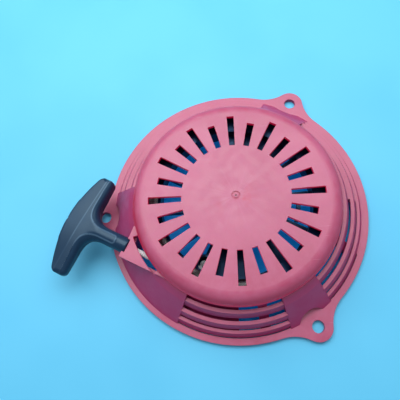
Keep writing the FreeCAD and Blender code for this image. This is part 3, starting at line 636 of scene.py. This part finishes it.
def panel_distance(run, side):
    """Plan distance outside the raised panel's outline in millimetres."""
    bar = np.maximum(PANEL_BAR_BACK - run, np.abs(side) - (BAR_HALF + PANEL_END_OVERRUN))
    neck = round_corner(np.abs(side) - PANEL_NECK_HALF, PANEL_NECK_END - run, PANEL_NECK_ROUND)
    return round_join(bar, neck, CONCAVE_REACH)


def past_crease(run, side):
    """Distance beyond the crease towards the bar's bowed front."""
    return run - CREASE_RUN - CREASE_LEAN * side


def grip_distance(run, side, height):
    """Distance outside the grip's skin in millimetres, negative in the plastic."""
    share = side / BAR_HALF
    front = BAR_FRONT - BAR_BOW * share ** 2
    back = BAR_BACK - BAR_SKEW * share
    middle, half_depth = (front + back) / 2.0, (front - back) / 2.0
    bar = round_corner(np.abs(run - middle) - half_depth, np.abs(side) - BAR_HALF, BAR_CORNER)
    neck = np.maximum(np.abs(side) - NECK_HALF, run - middle)
    plan = round_join(bar, neck, CONCAVE_REACH)

    raised = PANEL_HEIGHT * smooth_step(-panel_distance(run, side), -PANEL_SOFT, PANEL_SOFT)
    fallen = CREASE_SLOPE * np.maximum(past_crease(run, side), 0.0)

    swell = smooth_step(run, *SWELL_RUNS)
    edge = NECK_HALF + (BAR_ROUND - NECK_HALF) * swell
    edge = edge + (BAR_FRONT_ROUND - BAR_ROUND) * smooth_step(run, CREASE_RUN, front - BAR_FRONT_ROUND)
    lowered = LOWER_FALL * smooth_step(side, 0.0, BAR_HALF) * (height > 0.0)
    crowned = BAR_HALF_T - BAR_CROWN * share ** 2 - lowered
    half_t = NECK_HALF + (crowned - NECK_HALF) * swell + raised - fallen
    skin = round_corner(plan, np.abs(height) - half_t, edge)
    skin = round_corner(skin, NECK_END_RUN - run, NECK_END_ROUND)
    off_line = np.hypot(side, height)
    pocket = np.maximum(off_line - POCKET_R, BAR_FRONT - POCKET_DEPTH - run)
    return np.maximum(skin, -np.minimum(off_line - BORE_R, pocket))


GRIP_AXES = np.array([PULL, ACROSS, UP])
GRIP_ORIGIN = np.array([0.0, PITCH_R / MM, ROPE_Z / MM])


def along_grip(places):
    """Run, side and height in millimetres of places in the row's frame."""
    return places @ GRIP_AXES.T / MM - GRIP_ORIGIN


def draw_on(local):
    """Moves places on to the grip's skin, along its slope, in a few limited steps."""
    for _ in range(DRAW_STEPS):
        distance = grip_distance(*local.T)
        slope = np.empty_like(local)
        for axis in range(3):
            moved = local.copy()
            moved[:, axis] += DRAW_NUDGE
            slope[:, axis] = (grip_distance(*moved.T) - distance) / DRAW_NUDGE
        steep = np.maximum((slope ** 2).sum(axis=1), FLATTEST_SLOPE)
        local -= slope * (np.clip(distance, -DRAW_LIMIT, DRAW_LIMIT) / steep)[:, None]
    return local


def grip_plastic():
    made, shade, shader = material("grip_plastic")
    place = object_place(shade)
    cloud = shade.noise(place, GRIP_CLOUD_SCALE, 3.0).ramp(0.35, 0.7)
    rubbed = shade.noise(shade.vector("MULTIPLY", place, GRIP_RUB_STRETCH), 1.0, 2.0).ramp(0.6, 0.8)
    # Painted highlight: a lighter line along the panel's raised edge and along the crease.
    ridge = shade.node("ShaderNodeAttribute", {"attribute_name": "painted_highlight"}, None, "Fac")
    base = (cloud * 0.6 + rubbed * 0.25).mix(GRIP_COLOUR, GRIP_PALE)
    base = ridge.mix(base, GRIP_PAINTED_HIGHLIGHT)
    rough = cloud.ramp(0.0, 1.0, 0.36, 0.44) + rubbed * 0.08
    grain = shade.noise(place, GRIP_GRAIN_SCALE, 3.0)
    finish_shader(shade, shader, base, rough, bump(shade, grain, 0.10, GRAIN_DEPTH),
                  Specular_Tint=(*GRIP_SHEEN_TINT, 1.0))
    return made


def grip_mesh():
    copy = bpy.data.objects.new("grip_copy", nodes["grip"].data.copy())
    bpy.context.scene.collection.objects.link(copy)
    remesh = copy.modifiers.new("even", "REMESH")
    remesh.mode = "VOXEL"
    remesh.voxel_size = GRIP_VOXEL
    data = bpy.data.meshes.new_from_object(copy.evaluated_get(bpy.context.evaluated_depsgraph_get()))
    bpy.data.objects.remove(copy)
    places = np.empty(len(data.vertices) * 3)
    data.vertices.foreach_get("co", places)
    local = draw_on(along_grip(places.reshape(-1, 3)))
    data.vertices.foreach_set("co", ((local + GRIP_ORIGIN) * MM @ GRIP_AXES).ravel())
    run, side, height = local.T
    # Painted highlight lines: along the panel's edge and, weaker, along the crease, only on the top and
    # bottom faces and fading towards one end of the bar.
    ridge = np.exp(-((panel_distance(run, side) + PANEL_SOFT) / PAINTED_HIGHLIGHT_WIDTH) ** 2)
    crease = CREASE_PAINTED_HIGHLIGHT * np.exp(-(past_crease(run, side) / PAINTED_HIGHLIGHT_WIDTH) ** 2)
    painted_highlight = data.attributes.new("painted_highlight", "FLOAT", "POINT")
    kept = (1.0 - PAINTED_HIGHLIGHT_LOST * smooth_step(side, *PAINTED_HIGHLIGHT_FADE)) * (np.abs(height) > NECK_HALF / 2)
    painted_highlight.data.foreach_set("value", np.maximum(ridge, crease) * kept)
    data.shade_smooth()
    data.update()
    return data


pull_grip = bpy.data.objects.new("pull_grip", grip_mesh())
bpy.context.scene.collection.objects.link(pull_grip)
pull_grip.data.materials.clear()
pull_grip.data.materials.append(grip_plastic())
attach(pull_grip, "grip")
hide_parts("grip")
